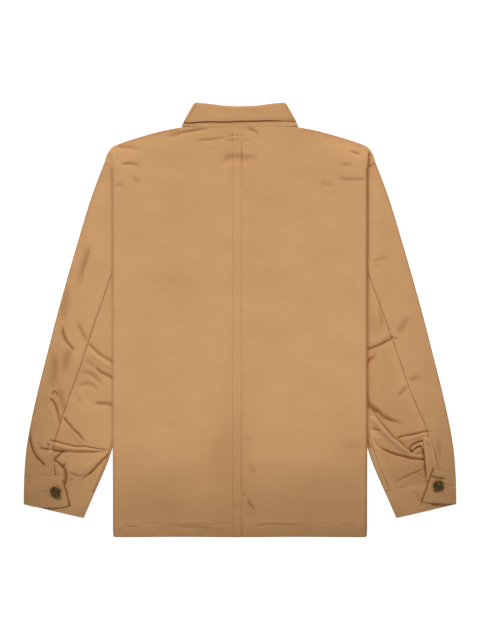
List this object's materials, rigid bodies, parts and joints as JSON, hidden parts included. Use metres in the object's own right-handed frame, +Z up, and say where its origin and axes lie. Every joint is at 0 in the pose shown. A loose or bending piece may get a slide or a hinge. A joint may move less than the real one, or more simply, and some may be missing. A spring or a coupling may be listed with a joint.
{
  "type": "shirt jacket",
  "caption": "Cotton shirt jacket lying flat, back up: panelled body with the sides tucked under, turned-down collar, long sleeves with buttoned cuffs.",
  "frame": {"origin": "on the ground plane, under the middle of the jacket's outline", "axes": "+X to the right as seen from above with the back up (the wearer's right), +Y from the hem to the collar, +Z up from the ground through the back"},
  "size_m": [0.764, 0.7646, 0.0153],
  "materials": {
    "cloth": "camel brown cotton, plain dense weave with faint cross ribs, matt, with stitching of the same colour",
    "metal": "dark antiqued bronze, softly polished dome"
  },
  "bodies": {
    "root": {"back_left": "cloth", "back_right": "cloth", "front_left": "cloth", "front_right": "cloth", "sleeve_top_left": "cloth", "sleeve_top_right": "cloth", "sleeve_under_left": "cloth", "sleeve_under_right": "cloth", "sleeve_binding_left": "cloth", "sleeve_binding_right": "cloth", "cuff_left": "cloth", "cuff_right": "cloth", "collar_fall": "cloth", "collar_stand": "cloth", "cuff_button_left": "metal", "cuff_button_right": "metal", "front_button_1": "metal", "front_button_2": "metal", "front_button_3": "metal", "front_button_4": "metal", "front_button_5": "metal"}
  },
  "joints": []
}
